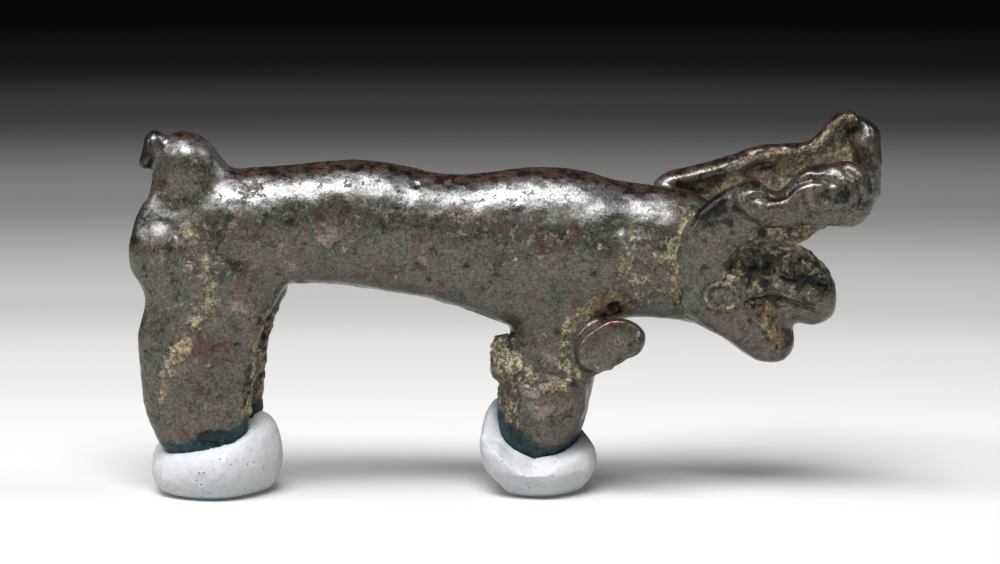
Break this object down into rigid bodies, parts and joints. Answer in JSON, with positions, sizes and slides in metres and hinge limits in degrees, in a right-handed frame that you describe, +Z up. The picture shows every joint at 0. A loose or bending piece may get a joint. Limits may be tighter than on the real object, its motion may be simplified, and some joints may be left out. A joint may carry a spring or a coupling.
{
  "type": "votive animal figure",
  "caption": "Small cast bronze horned animal with an open mouth, a raised broken forefoot and a stump tail, standing in lumps of putty.",
  "frame": {"origin": "on the surface that the figure stands on, under the middle of its overall box", "axes": "+X from the rump to the muzzle, +Z up, +Y to the far side; the raised broken forefoot is on the near side, towards -Y"},
  "size_m": [0.0752, 0.0178, 0.0377],
  "materials": {
    "bronze": "dark grey-brown patina, worn satin on the back, with red-brown edges and yellow-brown crust in the hollows",
    "putty": "matte, pale bluish grey, with small pits"
  },
  "bodies": {
    "root": {"bronze_animal": "bronze", "putty_under_hind_feet": "putty", "putty_under_forefoot": "putty"}
  },
  "joints": []
}
